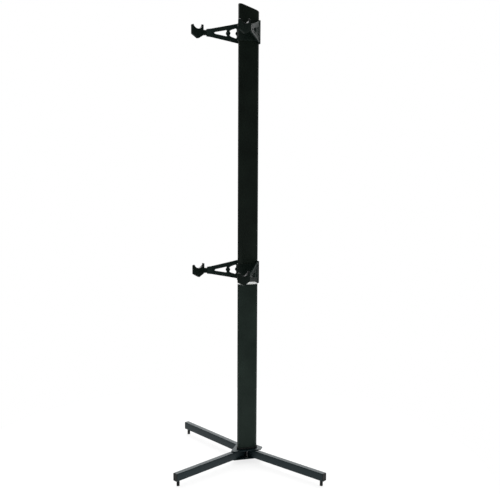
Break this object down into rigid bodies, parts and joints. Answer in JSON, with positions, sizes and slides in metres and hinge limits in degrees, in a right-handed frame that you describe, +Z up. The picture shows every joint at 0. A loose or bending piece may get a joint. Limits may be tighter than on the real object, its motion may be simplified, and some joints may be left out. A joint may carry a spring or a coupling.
{
  "type": "bike storage stand",
  "caption": "Free-standing bike storage column: a rounded triangular tube on a tripod base, with sliding brackets that carry hinged truss arms ending in tilting cradles.",
  "frame": {"origin": "on the floor, at the centre of the footprint's bounding box", "axes": "+Z up along the column, +X along the front leg and towards the cradles, +Y towards the right leg"},
  "size_m": [0.5224, 0.9576, 2.1787],
  "materials": {
    "black_coat": "satin black powder coat on steel",
    "column_coat": "satin black powder coat on an aluminium extrusion",
    "cast_coat": "black powder coat on cast aluminium",
    "nylon": "natural nylon",
    "black_plastic": "fine moulded texture",
    "rubber": "matt",
    "zinc_steel": "zinc plated",
    "black_steel": "black oxide"
  },
  "bodies": {
    "stand": {"column_lower": "column_coat", "column_upper": "column_coat", "column_joint": "nylon", "column_cap": "black_plastic", "column_boot": "black_plastic", "column_foot_block": "cast_coat", "hub_plate_top": "black_coat", "hub_plate_bottom": "black_coat", "centre_bolt": "black_steel", "leg_front": "black_coat", "leg_cap_front": "black_plastic", "leg_bolt_front": "black_steel", "leg_right": "black_coat", "leg_cap_right": "black_plastic", "leg_bolt_right": "black_steel", "leg_left": "black_coat", "leg_cap_left": "black_plastic", "leg_bolt_left": "black_steel"},
    "foot_front": {"foot_pad_front": "rubber", "foot_stud_front": "zinc_steel"},
    "foot_right": {"foot_pad_right": "rubber", "foot_stud_right": "zinc_steel"},
    "foot_left": {"foot_pad_left": "rubber", "foot_stud_left": "zinc_steel"},
    "bracket_upper": {"bracket_upper": "cast_coat", "hinge_pin_upper_right": "zinc_steel", "hinge_pin_upper_left": "zinc_steel", "pin_clip_upper_right": "black_steel", "pin_clip_upper_left": "black_steel"},
    "knob_upper": {"clamp_knob_upper": "black_plastic", "clamp_screw_upper": "zinc_steel"},
    "arm_upper_right": {"arm_upper_right": "cast_coat", "set_screw_upper_right": "black_steel"},
    "cradle_upper_right": {"cradle_upper_right": "cast_coat", "cradle_liner_upper_right": "rubber"},
    "arm_upper_left": {"arm_upper_left": "cast_coat", "set_screw_upper_left": "black_steel"},
    "cradle_upper_left": {"cradle_upper_left": "cast_coat", "cradle_liner_upper_left": "rubber"},
    "bracket_lower": {"bracket_lower": "cast_coat", "hinge_pin_lower_right": "zinc_steel", "hinge_pin_lower_left": "zinc_steel", "pin_clip_lower_right": "black_steel", "pin_clip_lower_left": "black_steel"},
    "knob_lower": {"clamp_knob_lower": "black_plastic", "clamp_screw_lower": "zinc_steel"},
    "arm_lower_right": {"arm_lower_right": "cast_coat", "set_screw_lower_right": "black_steel"},
    "cradle_lower_right": {"cradle_lower_right": "cast_coat", "cradle_liner_lower_right": "rubber"},
    "arm_lower_left": {"arm_lower_left": "cast_coat", "set_screw_lower_left": "black_steel"},
    "cradle_lower_left": {"cradle_lower_left": "cast_coat", "cradle_liner_lower_left": "rubber"}
  },
  "joints": [
    {"name": "foot_front_turn", "type": "hinge", "parent": "stand", "child": "foot_front", "pos_m": [0.24315, 0, 0.02], "axis": [0, 0, 1], "continuous": true},
    {"name": "foot_right_turn", "type": "hinge", "parent": "stand", "child": "foot_right", "pos_m": [-0.22466, 0.46005, 0.02], "axis": [0, 0, 1], "continuous": true},
    {"name": "foot_left_turn", "type": "hinge", "parent": "stand", "child": "foot_left", "pos_m": [-0.22466, -0.46005, 0.02], "axis": [0, 0, 1], "continuous": true},
    {"name": "bracket_upper_slide", "type": "slide", "parent": "stand", "child": "bracket_upper", "axis": [0, 0, 1], "range_m": [-0.45, 0.03]},
    {"name": "knob_upper_turn", "type": "hinge", "parent": "bracket_upper", "child": "knob_upper", "pos_m": [-0.25015, 0, 2.053], "axis": [1, 0, 0], "range_deg": [-540, 0]},
    {"name": "arm_upper_right_swing", "type": "hinge", "parent": "bracket_upper", "child": "arm_upper_right", "pos_m": [-0.21495, 0.055, 2.053], "axis": [0, 0, 1], "range_deg": [-25, 110]},
    {"name": "cradle_upper_right_tilt", "type": "hinge", "parent": "arm_upper_right", "child": "cradle_upper_right", "pos_m": [-0.07041, 0.14448, 2.053], "axis": [0.8503, 0.5264, 0], "range_deg": [-40, 40]},
    {"name": "arm_upper_left_swing", "type": "hinge", "parent": "bracket_upper", "child": "arm_upper_left", "pos_m": [-0.21495, -0.055, 2.053], "axis": [0, 0, -1], "range_deg": [-25, 110]},
    {"name": "cradle_upper_left_tilt", "type": "hinge", "parent": "arm_upper_left", "child": "cradle_upper_left", "pos_m": [-0.07041, -0.14448, 2.053], "axis": [0.8503, -0.5264, 0], "range_deg": [-40, 40]},
    {"name": "bracket_lower_slide", "type": "slide", "parent": "stand", "child": "bracket_lower", "axis": [0, 0, 1], "range_m": [-0.45, 0.4]},
    {"name": "knob_lower_turn", "type": "hinge", "parent": "bracket_lower", "child": "knob_lower", "pos_m": [-0.25015, 0, 0.945], "axis": [1, 0, 0], "range_deg": [-540, 0]},
    {"name": "arm_lower_right_swing", "type": "hinge", "parent": "bracket_lower", "child": "arm_lower_right", "pos_m": [-0.21495, 0.055, 0.945], "axis": [0, 0, 1], "range_deg": [-25, 110]},
    {"name": "cradle_lower_right_tilt", "type": "hinge", "parent": "arm_lower_right", "child": "cradle_lower_right", "pos_m": [-0.07041, 0.14448, 0.945], "axis": [0.8503, 0.5264, 0], "range_deg": [-40, 40]},
    {"name": "arm_lower_left_swing", "type": "hinge", "parent": "bracket_lower", "child": "arm_lower_left", "pos_m": [-0.21495, -0.055, 0.945], "axis": [0, 0, -1], "range_deg": [-25, 110]},
    {"name": "cradle_lower_left_tilt", "type": "hinge", "parent": "arm_lower_left", "child": "cradle_lower_left", "pos_m": [-0.07041, -0.14448, 0.945], "axis": [0.8503, -0.5264, 0], "range_deg": [-40, 40]}
  ]
}
